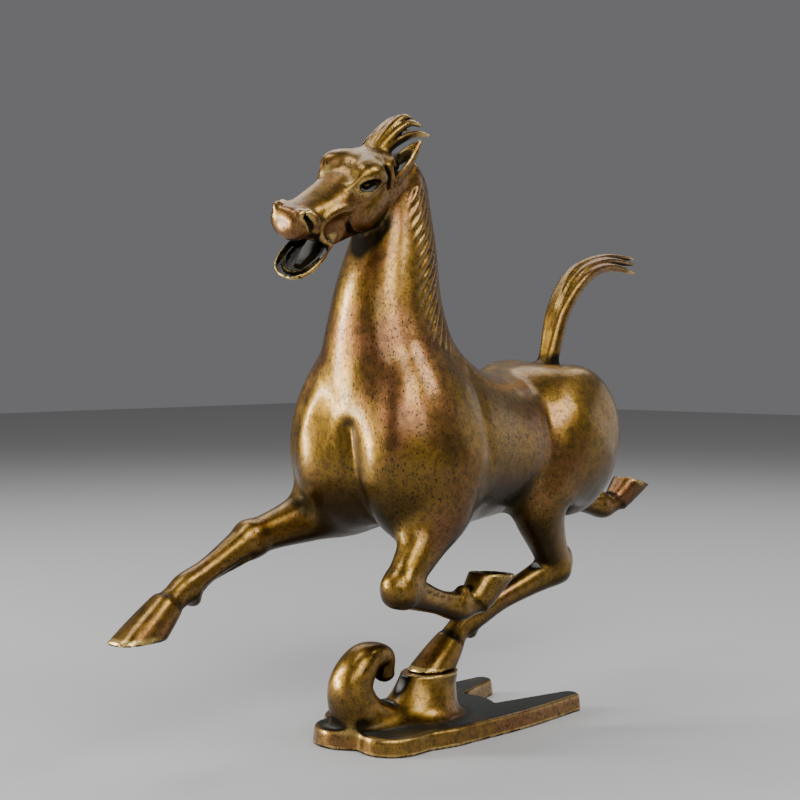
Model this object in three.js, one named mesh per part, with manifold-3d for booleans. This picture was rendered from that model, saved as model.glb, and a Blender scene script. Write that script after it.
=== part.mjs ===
// A cast brass statue of a horse at a flying trot, poised on one hind hoof over a cast cloud.
// Units are millimetres and +Z is up. The horse heads along -X with its near flank facing -Y.
// The origin is on the underside of the cloud base, at the middle of its plate.
import * as THREE from "three";
import Module from "manifold-3d";
import { mergeVertices } from "three/addons/utils/BufferGeometryUtils.js";

const wasm = await Module();
wasm.setup();

// Driving dimensions. The horse is laid out in its own frame, whose x = 0 is the middle of the barrel.
const BARREL_BEHIND_BASE = 22; // the barrel's middle lies this far behind the base's middle
const BARREL_HALF_LENGTH = 58;
const BARREL_HEIGHT = 127; // the barrel's middle line above the table
const BARREL_HALF_WIDTH = 37;
const BARREL_HALF_DEPTH = 36;
const POLL = [-52, 0, 235]; // the top of the neck, between the ears
const HEAD_DROP = 16; // degrees that the nose points below level
const HEAD_TILT = 20; // degrees that the head leans over to the near side
const LIP_DROP = 33; // degrees that the lower lip hangs from the line of the head
const SOLE_HEIGHT = 27; // the standing hoof's sole above the table
const JOINT_GAP = 0.3; // the joint line between hoof and base
const PLATE_THICKNESS = 8;
const CREST_LOCKS = 7; // on each side of the mane
const FACET_TOLERANCE = 0.2; // corners that can go without moving a surface by more than this do go

const ACROSS = new THREE.Vector3(0, 1, 0);
const NEAR = -1;
const FAR = 1;
const point = (p) => new THREE.Vector3(...p);

// A geometry as a solid that can be joined and cut.
function solid(geometry) {
  geometry.deleteAttribute("normal");
  geometry.deleteAttribute("uv");
  const merged = mergeVertices(geometry, 1e-4);
  const vertProperties = new Float32Array(merged.attributes.position.array);
  const triVerts = new Uint32Array(merged.index.array);
  return new wasm.Manifold(new wasm.Mesh({ numProp: 3, vertProperties, triVerts }));
}

// A solid as a named mesh.
function namedMesh(name, body, material) {
  const made = body.getMesh();
  const geometry = new THREE.BufferGeometry();
  geometry.setAttribute("position", new THREE.BufferAttribute(made.vertProperties, 3));
  geometry.setIndex(new THREE.BufferAttribute(made.triVerts, 1));
  geometry.computeVertexNormals();
  const mesh = new THREE.Mesh(geometry, material);
  mesh.name = name;
  return mesh;
}

const join = (bodies) => bodies.reduce((whole, body) => whole.add(body));
const cut = (body, tools) => tools.reduce((rest, tool) => rest.subtract(tool), body);

// The half width and half depth at a share of the path: a smooth cubic through the girth's rows.
function girthAt(rows, share) {
  let row = 0;
  while (row < rows.length - 2 && share > rows[row + 1][0]) row += 1;
  const slope = (k, column) => {
    const before = rows[Math.max(k - 1, 0)];
    const after = rows[Math.min(k + 1, rows.length - 1)];
    return (after[column] - before[column]) / (after[0] - before[0]);
  };
  const [from, to] = [rows[row], rows[row + 1]];
  const span = to[0] - from[0];
  const t = (share - from[0]) / span;
  return [1, 2].map(
    (column) =>
      from[column] * (1 + 2 * t) * (1 - t) ** 2 +
      to[column] * t * t * (3 - 2 * t) +
      slope(row, column) * span * t * (1 - t) ** 2 -
      slope(row + 1, column) * span * t * t * (1 - t),
  );
}

// A rounded body carried along a path. Each girth row is [share of the path, half width, half depth]:
// the width lies across the horse, and the depth in the plane that the path bends in. The egg widens
// one side of the depth and narrows the other, squareness over 2 fills the corners, and each cap is
// the length of a round end, as a share of the end's lesser half size.
function sweep({ path, girth, sides = 10, steps = 6, egg = 0, squareness = 2, caps = [1, 1], capRings = 2 }) {
  const curve = new THREE.CatmullRomCurve3(path.map(point));
  const power = 2 / squareness;
  const full = (value) => Math.sign(value) * Math.abs(value) ** power;

  const ring = (share, angle, cap) => {
    const tangent = curve.getTangentAt(share);
    const side = ACROSS.clone().addScaledVector(tangent, -tangent.y).normalize();
    const normal = tangent.clone().cross(side);
    const [halfWidth, halfDepth] = girthAt(girth, share);
    const reach = Math.sin(angle) * cap * Math.min(halfWidth, halfDepth);
    const centre = curve.getPointAt(share).addScaledVector(tangent, reach);
    const corners = Array.from({ length: sides }, (_, j) => {
      const turn = (j / sides) * 2 * Math.PI;
      const deep = full(Math.sin(turn));
      const wide = full(Math.cos(turn)) * (1 + egg * deep);
      return centre
        .clone()
        .addScaledVector(side, wide * halfWidth * Math.cos(angle))
        .addScaledVector(normal, deep * halfDepth * Math.cos(angle));
    });
    return { centre, corners };
  };
  const quarter = Math.PI / 2;
  const rings = [];
  for (let k = capRings - 1; k > 0; k -= 1) rings.push(ring(0, (-k / capRings) * quarter, caps[0]));
  for (let k = 0; k <= steps; k += 1) rings.push(ring(k / steps, 0, 1));
  for (let k = 1; k < capRings; k += 1) rings.push(ring(1, (k / capRings) * quarter, caps[1]));
  const poles = [ring(0, -quarter, caps[0]).centre, ring(1, quarter, caps[1]).centre];

  const places = [...rings.flatMap((one) => one.corners), ...poles];
  const [start, end] = [places.length - 2, places.length - 1];
  const lastRing = (rings.length - 1) * sides;
  const faces = [];
  for (let j = 0; j < sides; j += 1) {
    const next = (j + 1) % sides;
    faces.push(start, next, j, end, lastRing + j, lastRing + next);
    for (let low = 0; low < lastRing; low += sides) {
      const high = low + sides;
      faces.push(low + j, low + next, high + next, low + j, high + next, high + j);
    }
  }
  const geometry = new THREE.BufferGeometry().setFromPoints(places);
  geometry.setIndex(faces);
  return solid(geometry);
}

// An egg-shaped mass: radii along x, y and z, turned by degrees about the line across the horse.
function mass(centre, radii, turn = 0, detail = 10) {
  const geometry = new THREE.SphereGeometry(1, detail, Math.round(detail * 0.6));
  geometry.scale(...radii);
  geometry.rotateY(THREE.MathUtils.degToRad(turn));
  geometry.translate(...centre);
  return solid(geometry);
}

// A block with one face through a point, lying beyond it along a direction.
function blockBeyond(at, direction, width = 60, thickness = 30) {
  const geometry = new THREE.BoxGeometry(width, width, thickness);
  geometry.translate(0, 0, thickness / 2);
  const way = point(direction).normalize();
  geometry.applyQuaternion(new THREE.Quaternion().setFromUnitVectors(new THREE.Vector3(0, 0, 1), way));
  geometry.translate(...at);
  return solid(geometry);
}

// The barrel, deep at the girth, with the two breast muscles, the shoulders and the haunches.
function torso() {
  const [w, d] = [BARREL_HALF_WIDTH, BARREL_HALF_DEPTH];
  const barrel = sweep({
    path: [
      [-BARREL_HALF_LENGTH - 2, 0, BARREL_HEIGHT - 2],
      [0, 0, BARREL_HEIGHT - 3],
      [BARREL_HALF_LENGTH, 0, BARREL_HEIGHT + 4],
    ],
    girth: [
      [0, 0.84 * w, 0.84 * d],
      [0.2, w, d],
      [0.42, w, 0.95 * d],
      [0.66, 0.92 * w, 0.88 * d],
      [0.86, 0.92 * w, 0.9 * d],
      [1, 0.78 * w, 0.78 * d],
    ],
    sides: 14,
    steps: 7,
    egg: -0.08,
    caps: [0.6, 0.85],
    capRings: 3,
  });
  return [
    barrel,
    mass([-66, 17, 119], [21, 20.5, 28.5]),
    mass([-62, -18, 117], [19, 16.5, 27]),
    mass([-57, 25, 124], [28, 16.5, 38.5], -12, 11),
    mass([-57, -22.5, 122], [25.5, 17.5, 38], -8, 11),
    mass([50, 18.5, 130], [34, 17.5, 31], 16, 11),
    mass([48, -19, 124], [32, 19, 36], 24, 11),
  ];
}

// The neck rises from the breast to the poll, narrower along the crest than at the throat.
const NECK_PATH = [[-44, 0, 128], [-54, 0, 156], [-56.5, 0, 184], [-53.5, 0, 210], POLL];
const NECK_GIRTH = [
  [0, 33, 36],
  [0.28, 29, 30],
  [0.52, 21.5, 25],
  [0.76, 16.5, 19.5],
  [1, 11.5, 13],
];
const NECK_EGG = 0.18;

function neck() {
  return sweep({ path: NECK_PATH, girth: NECK_GIRTH, sides: 14, egg: NECK_EGG, caps: [0.5, 1] });
}

// The head is built in its own frame, whose origin is the poll and whose x runs back from the nose. It
// is then tilted to the near side and dropped at the nose.
const headFrame = new THREE.Matrix4()
  .makeTranslation(...POLL)
  .multiply(new THREE.Matrix4().makeRotationY(THREE.MathUtils.degToRad(-HEAD_DROP)))
  .multiply(new THREE.Matrix4().makeRotationX(THREE.MathUtils.degToRad(HEAD_TILT)));

// The skull and nose, with a high square forehead, the palate, the upper lip and the bar of the jaw.
function skull() {
  const nose = sweep({
    path: [[-2, 0, 3.5], [-16, 0, 4.6], [-28, 0, 5], [-44, 0, 3.4], [-53, 0, 1.5], [-64.4, 0, 0.3]],
    girth: [
      [0, 10.5, 11.5],
      [0.22, 11.4, 13.6],
      [0.41, 11.8, 13.4],
      [0.54, 11.4, 9.6],
      [0.67, 10.6, 7],
      [0.81, 9.4, 6.2],
      [0.94, 8.1, 6],
      [1, 7.5, 5.7],
    ],
    sides: 12,
    steps: 8,
    egg: -0.08,
    squareness: 2.6,
    caps: [0.7, 0.8],
  });
  const jaw = sweep({
    path: [[-26, 0, -8], [-38, 0, -10.4], [-50, 0, -11.8]],
    girth: [[0, 8, 4.6], [0.5, 6.6, 3.2], [1, 7.6, 2.6]],
    sides: 8,
    steps: 3,
    squareness: 2.4,
  });
  const forehead = mass([-21, 0, 13.6], [12, 12, 7.2]);
  const palate = mass([-45, 0, -5], [12, 8.8, 8.4], 0, 8);
  const upperLip = mass([-64.2, 0, -3.8], [4.8, 7.2, 4], 0, 7);
  return join([nose, jaw, forehead, palate, upperLip]);
}

// The lower lip hangs open like a spoon: half of an egg, cut off along its rim and hollowed out.
function lowerLip() {
  const middle = [-57, 0, -15.7];
  const drop = THREE.MathUtils.degToRad(LIP_DROP);
  const lip = mass(middle, [12.8, 10.4, 5.4], -LIP_DROP, 10);
  const aboveRim = blockBeyond(middle, [-Math.sin(drop), 0, Math.cos(drop)]);
  return cut(lip, [aboveRim, mass(middle, [11.4, 9, 3.8], -LIP_DROP, 8)]);
}

// A thin round rod along a path, thinner at its ends.
function strip(path, radius) {
  const girth = [[0, 0.6 * radius, 0.6 * radius], [0.45, radius, radius], [1, 0.6 * radius, 0.6 * radius]];
  return sweep({ path, girth, sides: 4, steps: path.length });
}

// The head, with its muzzle, hollow cheeks, jowls, brows, eyes, nostrils and open mouth.
function head() {
  const onBothSides = (make) => [NEAR, FAR].map(make);
  const muzzles = onBothSides((side) => mass([-62.4, 5.2 * side, 0.2], [6.1, 4.3, 5.1], 0, 7));
  const cheekHollows = onBothSides((side) => mass([-46.8, 12.6 * side, -6.2], [9, 6.5, 8.4], 0, 8));
  let whole = cut(join([skull(), ...muzzles]), cheekHollows);

  const jowls = onBothSides((side) => mass([-28.5, 8.2 * side, 1.2], [12.6, 5.3, 11.8], 0, 8));
  const brows = onBothSides((side) => mass([-29.2, 8.8 * side, 15], [6.4, 4.5, 5.1], 0, 7));
  const cheekArches = onBothSides((side) =>
    strip(
      [[-42, 11 * side, 3.2], [-50, 10.2 * side, 2.8], [-55.6, 9 * side, -2.4], [-50.6, 8.7 * side, -10.8]],
      1.3,
    ),
  );
  const browRidges = onBothSides((side) =>
    strip([[-24, 11.8 * side, 12.6], [-30, 12 * side, 15.4], [-38.4, 8.6 * side, 11]], 1.4),
  );
  const eyeSockets = onBothSides((side) => mass([-31.9, 13.4 * side, 11], [5.1, 4, 2.8], 0, 6));
  whole = cut(join([whole, ...jowls, ...brows, ...cheekArches, ...browRidges]), eyeSockets);

  const eyeballs = onBothSides((side) => mass([-31.6, 10.2 * side, 11.2], [3.2, 2.1, 2.4], 0, 5));
  const nostrilWings = onBothSides((side) =>
    strip([[-65.4, 6.4 * side, 4.6], [-59.2, 9.2 * side, 1.6], [-58.6, 9 * side, -3.4]], 1.8),
  );
  const nostrilSlits = onBothSides((side) => mass([-62.4, 10.2 * side, 0], [1.4, 2.4, 4.2], 10, 5));
  const mouth = sweep({
    path: [[-45, 0, -9.4], [-53, 0, -11.4], [-63, 0, -13.4]],
    girth: [[0, 4, 1.6], [0.5, 7, 2.4], [1, 8, 3]],
    sides: 6,
    steps: 3,
  });
  whole = join([whole, ...eyeballs, ...nostrilWings, lowerLip()]);
  const tongue = mass([-54, 0, -16.7], [7, 3.8, 1.4], -LIP_DROP, 7);
  const finished = join([cut(whole, [...nostrilSlits, mouth]), tongue, ...ears(), ...forelock()]);
  return finished.transform(headFrame.elements);
}

// Two pricked ears, each a cupped leaf with its hollow facing forward.
function ears() {
  return [NEAR, FAR].map((side) => {
    const path = [[-12.6, 7.6 * side, 10.6], [-8.4, 9.4 * side, 16.2], [-0.4, 11 * side, 23.9]];
    const inside = path.map(([x, y, z]) => [x - 2.7, y + 0.9 * side, z + 1.9]);
    const leafGirth = [[0, 4.6, 4.2], [0.4, 4.6, 3.6], [0.75, 2.9, 2.3], [1, 0.7, 0.6]];
    const hollowGirth = [[0, 2.2, 2], [0.4, 2.9, 2.5], [0.75, 1.7, 1.6], [1, 0.4, 0.5]];
    const leaf = sweep({ path, girth: leafGirth, sides: 7, steps: 3 });
    return cut(leaf, [sweep({ path: inside, girth: hollowGirth, sides: 5, steps: 3 })]);
  });
}

// The forelock: three tufts that stand up between the ears and are blown back.
function forelock() {
  const tuft = (spread, lift) =>
    sweep({
      path: [
        [-16, 1.3 + 0.4 * spread, 13],
        [-14, 2 + 0.8 * spread, 19.5 + 0.3 * lift],
        [-6, 2.7 + spread, 26 + 0.7 * lift],
        [3 - 0.5 * lift, 3 + 1.15 * spread, 29.4 + lift],
        [10 - lift, 3 + 1.3 * spread, 27 + lift],
      ],
      girth: [[0, 3.6, 3.4], [0.3, 2.8, 2.7], [0.65, 2.2, 2], [1, 0.7, 0.7]],
      sides: 5,
      steps: 4,
    });
  return [tuft(-3.6, -1.2), tuft(0, 0.8), tuft(3.6, -1.8)];
}

const neckLine = new THREE.CatmullRomCurve3(NECK_PATH.map(point));

// A place on the neck's skin at a share of its length, at an angle round from the crest.
function onNeck(share, angle) {
  const forward = new THREE.Vector3().crossVectors(neckLine.getTangentAt(share), ACROSS).normalize();
  const [halfWidth, halfDepth] = girthAt(NECK_GIRTH, share);
  const sideways = halfWidth * Math.sin(angle) * (1 - NECK_EGG * Math.cos(angle));
  return neckLine
    .getPointAt(share)
    .addScaledVector(forward, -halfDepth * Math.cos(angle))
    .addScaledVector(ACROSS, sideways)
    .toArray();
}

// The cropped mane: a ridge along the crest, and on both sides locks that lie along the neck and turn
// forward as they fall. The locks that would begin past the poll begin at it, further round.
function mane() {
  const fall = 0.34;
  const ridge = sweep({
    path: [1, 0.85, 0.7, 0.55, 0.42, 0.3].map((share) => onNeck(share, 0)),
    girth: [[0, 3, 2.4], [0.3, 3.6, 3], [0.8, 3.2, 2.6], [1, 1.8, 1.2]],
    sides: 6,
    steps: 7,
  });
  const locks = [];
  for (let k = 0; k < CREST_LOCKS; k += 1) {
    const down = k / (CREST_LOCKS - 1);
    const top = 1.22 - 0.88 * down;
    const hidden = Math.max(0, (top - 1) / fall);
    const parts = [0, 0.5, 1].map((part) => hidden + (1 - hidden) * part);
    [NEAR, FAR].forEach((side) => {
      const turn = (part) => side * (0.12 + (1.95 - 0.65 * down) * part);
      const share = (part) => THREE.MathUtils.clamp(top - fall * part, 0, 1);
      const path = parts.map((part) => onNeck(share(part), turn(part)));
      locks.push(sweep({ path, girth: [[0, 2, 1.5], [0.5, 2.2, 1.6], [1, 0.6, 0.5]], sides: 4, steps: 2 }));
    });
  }
  return [ridge, ...locks];
}

// The tail, carried high and streaming back: a flat lock with two more that part from it.
function tail() {
  const strand = (spread, lift, reach) =>
    sweep({
      path: [
        [52, 0, 146],
        [58, 0.2 * spread, 167],
        [65, 0.5 * spread, 187 + 0.3 * lift],
        [80, 0.8 * spread, 204 + 0.7 * lift],
        [101 + 0.6 * reach, spread, 211 + lift],
        [124 + reach, 1.3 * spread, 211 + 1.6 * lift],
      ],
      girth: [[0, 5.5, 4.2], [0.35, 5, 3.4], [0.7, 4.6, 3], [1, 1.2, 1]],
      sides: 5,
      steps: 6,
    });
  return [strand(0, 2, 6), strand(-5, -3, -2), strand(5, 0, 0)];
}

// Rows of [share, half width, half depth] for the upper and lower lengths of a foreleg and of a hind leg.
const PASTERN = [[0.74, 5.5, 6.1], [0.88, 4.9, 5.3], [1, 6, 6.4]];
const FORELEG = {
  upper: [[0, 15, 19], [0.33, 12, 14.5], [0.62, 8.9, 10], [0.85, 7.1, 7.8], [1, 7.1, 7.8]],
  lower: [[0, 7.1, 7.8], [0.25, 5.8, 6.2], [0.5, 4.8, 5.2], ...PASTERN],
};
const HIND_LEG = {
  upper: [[0, 16, 25], [0.45, 13, 17.5], [0.72, 8.8, 11], [0.92, 6.8, 8.2], [1, 6.8, 8.4]],
  lower: [[0, 6.8, 8.4], [0.22, 5.5, 6.3], [0.5, 4.7, 5.2], ...PASTERN],
};

// A leg through its joints: shoulder or hip, elbow or stifle, knee or hock, fetlock, coronet and sole.
// The hoof is drawn longer than it is and cut flat by its sole, which is hollow where the hoof is
// raised. The spur is the tuft behind the fetlock.
function leg({ joints, rows, sole, spur, raised = true }) {
  const [fetlock, coronet, tip] = joints.slice(3);
  const overrun = 0.9;
  const beyondSole = tip.map((value, axis) => value + overrun * (value - coronet[axis]));
  const hoof = sweep({
    path: [coronet, beyondSole],
    girth: [[0, 6.7, 6.9], [0.5, 8.4, 8.4], [1, 9.6, 9.2]],
    sides: 10,
    steps: 2,
    squareness: 2.3,
    caps: [0.4, 0.3],
  });
  const tools = [blockBeyond(tip, sole)];
  if (raised) {
    const turn = THREE.MathUtils.radToDeg(Math.atan2(sole[0], sole[2]));
    tools.push(mass(tip, [6.6, 5.8, 2.8], turn, 8));
  }
  const tuft = fetlock.map((value, axis) => value + spur[axis]);
  return join([
    sweep({ path: joints.slice(0, 3), girth: rows.upper, sides: 8, steps: 4, caps: [0.8, 0.9] }),
    sweep({ path: joints.slice(2, 5), girth: rows.lower, sides: 7, caps: [0.9, 0.5] }),
    mass(tuft, [3.2, 2.9, 3.2], 0, 5),
    cut(hoof, tools),
  ]);
}

function legs() {
  const reaching = leg({
    joints: [[-52, 23, 116], [-68, 28, 99], [-108, 31, 88], [-142, 31, 72], [-153, 31, 65], [-165, 31, 54]],
    rows: FORELEG,
    sole: [0, 0, -1],
    spur: [4, 0, -5],
  });
  const folded = leg({
    joints: [[-50, -23, 118], [-59, -27, 98], [-83, -30, 71], [-46, -30, 59], [-35, -30, 61], [-25, -30, 71]],
    rows: FORELEG,
    sole: [0.1, 0, 1],
    spur: [2, 0, 6],
  });
  const standing = leg({
    joints: [
      [44, -20, 124],
      [18, -24, 98],
      [34, -21, 66],
      [-17, -9, 46],
      [-26, -7, 37],
      [-34, -5, SOLE_HEIGHT],
    ],
    rows: HIND_LEG,
    sole: [0, 0, -1],
    spur: [4, 0, -5],
    raised: false,
  });
  const flung = leg({
    joints: [[50, 20, 124], [63, 24, 106], [94, 22, 93], [131, 19, 83], [142, 17, 87], [153, 16, 96]],
    rows: HIND_LEG,
    sole: [0.3, 0, 1],
    spur: [-2, 0, 6],
  });
  const hocks = [mass([39, -21, 69], [5, 5, 6], 0, 7), mass([96, 22, 98], [6, 5, 5], 0, 7)];
  const foldedKnee = mass([-82.5, -30, 70.5], [5.6, 6.8, 7.5], 20, 7);
  return [reaching, folded, standing, flung, ...hocks, foldedKnee];
}

// The horse, cast in one piece.
function horse() {
  return join([...torso(), neck(), head(), ...mane(), ...tail(), ...legs()]).simplify(FACET_TOLERANCE);
}

// The cloud base: a low plate whose lobes curl in front and stream out behind, with a pedestal.
function cloudBase() {
  const top = PLATE_THICKNESS / 2;
  const streamer = (path) =>
    sweep({
      path: path.map(([x, y]) => [x, y, top]),
      girth: [[0, 13, top], [0.5, 10.4, top], [1, 5.2, 0.9 * top]],
      sides: 8,
      squareness: 3,
    });
  const plate = mass([-16, 0, top], [42, 30, top], 0, 13);
  const curl = sweep({
    path: [[-40, 4, 3], [-50, 5, 14], [-54, 4, 26], [-48, 2, 36], [-39, 1, 36], [-37, 1, 29]],
    girth: [[0, 14, 14], [0.3, 11, 10], [0.65, 8.5, 7], [1, 4.5, 4]],
    sides: 8,
    steps: 8,
  });
  const pedestal = sweep({
    path: [[-18, -2, 2], [-13, -5, SOLE_HEIGHT + 4]],
    girth: [[0, 25, 24], [0.3, 16, 18], [0.7, 11.5, 14], [1, 11, 13.5]],
    sides: 12,
    steps: 3,
  });
  const whole = join([
    plate,
    curl,
    pedestal,
    streamer([[-20, -17], [16, -23], [57, -28]]),
    streamer([[-10, 13], [20, 17], [52, 20]]),
    mass([-44, -12, 3], [16, 14, 8], 0, 9),
    mass([-32, 22, 3], [16, 13, 8], 0, 9),
    mass([-52, 10, 3], [12, 14, 9], 0, 9),
  ]);
  const tools = [
    blockBeyond([0, 0, 0], [0, 0, -1], 200, 60),
    blockBeyond([-13, -5, SOLE_HEIGHT - JOINT_GAP], [0, 0, 1], 34, 30),
  ];
  return cut(whole, tools).simplify(FACET_TOLERANCE);
}

const brass = new THREE.MeshStandardMaterial({ color: 0x7d6229, roughness: 0.35, metalness: 1 });
const darkBrass = new THREE.MeshStandardMaterial({ color: 0x6b5530, roughness: 0.4, metalness: 1 });

const statue = new THREE.Group();
const horseMesh = namedMesh("horse", horse(), brass);
horseMesh.position.x = BARREL_BEHIND_BASE;
statue.add(horseMesh, namedMesh("cloud_base", cloudBase(), darkBrass));

export default statue;
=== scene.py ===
import bpy
import numpy as np
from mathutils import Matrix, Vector


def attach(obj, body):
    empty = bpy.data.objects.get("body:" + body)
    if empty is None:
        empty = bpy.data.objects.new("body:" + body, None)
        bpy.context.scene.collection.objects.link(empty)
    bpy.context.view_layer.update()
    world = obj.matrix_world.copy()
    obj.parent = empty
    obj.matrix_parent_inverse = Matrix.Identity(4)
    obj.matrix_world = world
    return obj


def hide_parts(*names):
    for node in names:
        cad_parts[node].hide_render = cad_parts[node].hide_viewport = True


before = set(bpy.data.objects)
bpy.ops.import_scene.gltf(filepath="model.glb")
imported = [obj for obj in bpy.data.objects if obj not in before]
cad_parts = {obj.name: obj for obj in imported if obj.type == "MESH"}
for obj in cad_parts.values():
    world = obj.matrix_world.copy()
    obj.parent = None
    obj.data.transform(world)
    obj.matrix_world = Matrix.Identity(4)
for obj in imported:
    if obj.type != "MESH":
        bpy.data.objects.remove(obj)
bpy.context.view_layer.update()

# The camera
# It looks up a little at the near flank from in front, level with the breast, through a moderately
# long lens. The point it looks at lies in the neck's foot.
CAMERA_AROUND = np.radians(47.5)  # turned this far from the flank towards the head
CAMERA_AWAY = 0.600
CAMERA_HEIGHT = 0.165
CAMERA_LENS = 63
LOOK_AT = Vector((-0.028, 0, 0.145))

camera = bpy.data.objects.new("camera", bpy.data.cameras.new("camera"))
bpy.context.scene.collection.objects.link(camera)
bpy.context.scene.camera = camera
camera.data.lens = CAMERA_LENS
camera.location = (
    LOOK_AT.x - CAMERA_AWAY * np.sin(CAMERA_AROUND),
    -CAMERA_AWAY * np.cos(CAMERA_AROUND),
    CAMERA_HEIGHT,
)
camera.rotation_euler = (LOOK_AT - camera.location).to_track_quat("-Z", "Y").to_euler()

# The horse
# One hollow brass casting from a wax model, chased and rubbed after casting. The wax is modelled here
# as a founder would: rods and lumps of wax run together, then creased, hollowed and cut with tools.
# Lengths are millimetres in the horse's own frame, with x = 0 at the middle of its barrel.
HORSE_SHIFT = 22  # from the horse's own frame to the statue's, along x
NEAR, FAR = -1, 1
STATIONS = 160  # steps along every rod of wax
STATION_SKIP = 8
REACH = 14  # a body of wax is worked out this far past its skin
OUT_OF_REACH = 30.0  # and farther away it counts as this far


def through(rows, share):
    """A smooth cubic through rows of [share, values...]. Between two rows it has their values at its
    ends, and as slope at each row the slope of the line that joins the row's two neighbours."""
    rows = np.asarray(rows, float)
    shares, values = rows[:, 0], rows[:, 1:]
    last = len(rows) - 1
    before, after = np.maximum(np.arange(last + 1) - 1, 0), np.minimum(np.arange(last + 1) + 1, last)
    slopes = (values[after] - values[before]) / (shares[after] - shares[before])[:, None]
    low = np.clip(np.searchsorted(shares, share, side="right") - 1, 0, last - 1)
    span = (shares[low + 1] - shares[low])[:, None]
    t = np.asarray(share)[:, None] / span - shares[low][:, None] / span
    return (
        values[low] * (1 + 2 * t) * (1 - t) ** 2
        + values[low + 1] * t * t * (3 - 2 * t)
        + slopes[low] * span * t * (1 - t) ** 2
        - slopes[low + 1] * span * t * t * (1 - t)
    )


def stations_along(path, girth=((0, 1, 1), (1, 1, 1)), beside=(0, 1, 0)):
    """Stations on the smooth curve through the path's points: each row is the centre, the direction
    ahead, the direction across (beside, made square to ahead), their cross product, and the girth."""
    path = np.asarray(path, float)
    steps = np.linalg.norm(np.diff(path, axis=0), axis=1)
    shares = np.append(0, np.cumsum(steps)) / steps.sum()
    share = np.linspace(0, 1, STATIONS + 1)
    centre = through(np.column_stack([shares, path]), share)
    ahead = np.gradient(centre, axis=0)
    ahead /= np.linalg.norm(ahead, axis=1, keepdims=True)
    across = np.array(beside) - ahead * (ahead @ beside)[:, None]
    across /= np.linalg.norm(across, axis=1, keepdims=True)
    return np.hstack([centre, ahead, across, np.cross(ahead, across), through(girth, share)])


def nearest_station(points, stations):
    """The fractional station nearest to each point: the nearest of every eighth station, then slid
    along the curve by the point's offset in the direction ahead, and twice more by half of it, which
    settles on the outside of a bend too."""
    at = np.zeros(len(points))
    best = np.full(len(points), np.inf)
    for k in range(0, STATIONS + 1, STATION_SKIP):
        gap = ((points - stations[k, :3]) ** 2).sum(1)
        at = np.where(gap < best, k, at)
        best = np.minimum(gap, best)
    step = np.linalg.norm(np.diff(stations[:, :3], axis=0), axis=1).mean()
    for share in (1, 0.5, 0.5):
        here = row_at(stations, at)
        slide = ((points - here[:, :3]) * here[:, 3:6]).sum(1) / step
        at = np.clip(at + share * slide, 0, STATIONS)
    return at


def row_at(stations, at):
    """The rows of stations at fractional places, in straight lines between whole ones."""
    low = np.minimum(at.astype(int), STATIONS - 1)
    part = (at - low)[:, None]
    return stations[low] * (1 - part) + stations[low + 1] * part


def shell_distance(offsets, radii, power=2.0):
    """Signed distance, to first order, to the rounded body |x/a|^n + |y/b|^n + |z/c|^n = 1: with k the
    n-th root of that sum, it is (k - 1) over the length of k's gradient."""
    scaled = np.abs(offsets) / radii + 1e-9
    k = (scaled**power).sum(1) ** (1 / power)
    slope = (scaled ** (power - 1) / radii) * (k ** (1 - power))[:, None]
    return (k - 1) / np.linalg.norm(slope, axis=1)


def within(points, low, high, margin):
    """Which points lie inside the box from low to high, made larger by a margin on every side."""
    return np.all((points > low - margin) & (points < high + margin), axis=1)


def rod(points, path, girth, egg=0.0, squareness=2.0, ends=(1.0, 1.0), beside=(0, 1, 0)):
    """Signed distance to a rounded rod of wax whose section, of girth rows [share, half width, half
    depth], is carried along a path. The egg widens the deep side, and the ends are domes."""
    stations = stations_along(path, girth, beside)
    reach = stations[:, 12:].max() + REACH
    distance = np.full(len(points), OUT_OF_REACH)
    inside = within(points, stations[:, :3].min(0), stations[:, :3].max(0), reach)
    if not inside.any():
        return distance
    near = points[inside]
    at = nearest_station(near, stations)
    here = row_at(stations, at)
    offset = near - here[:, :3]
    ahead, across, deep = ((offset * here[:, c : c + 3]).sum(1) for c in (3, 6, 9))
    wide, depth = here[:, 12], here[:, 13]
    lean = 1 + egg * np.clip(deep / depth, -1, 1)
    dome = np.where(at < STATIONS / 2, ends[0], ends[1]) * np.minimum(wide, depth)
    distance[inside] = shell_distance(
        np.column_stack([ahead, across, deep]),
        np.column_stack([dome, wide * lean, depth]),
        squareness,
    )
    return distance


def lump(points, centre, radii, turn=0.0, squareness=2.0):
    """Signed distance to an egg-shaped lump of wax: the shell distance of the offset from its centre,
    turned in degrees about the line across the horse."""
    distance = np.full(len(points), OUT_OF_REACH)
    centre, radii = np.array(centre, float), np.array(radii, float)
    inside = within(points, centre - radii.max(), centre + radii.max(), REACH)
    if not inside.any():
        return distance
    x, y, z = (points[inside] - centre).T
    c, s = np.cos(np.radians(turn)), np.sin(np.radians(turn))
    distance[inside] = shell_distance(np.column_stack([x * c - z * s, y, x * s + z * c]), radii, squareness)
    return distance


def joined(a, b, fillet):
    """Two bodies run together: the lesser distance, less h squared times a quarter of the fillet, where
    h falls from 1 where the two are equal to 0 where they differ by the fillet."""
    h = np.clip(fillet - np.abs(a - b), 0, None) / fillet
    return np.minimum(a, b) - h * h * fillet / 4


def cut(a, tool, fillet):
    """A body with a tool's shape taken out: outside turned to inside, run together with the tool, and
    turned back."""
    return -joined(-a, tool, fillet)


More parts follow.
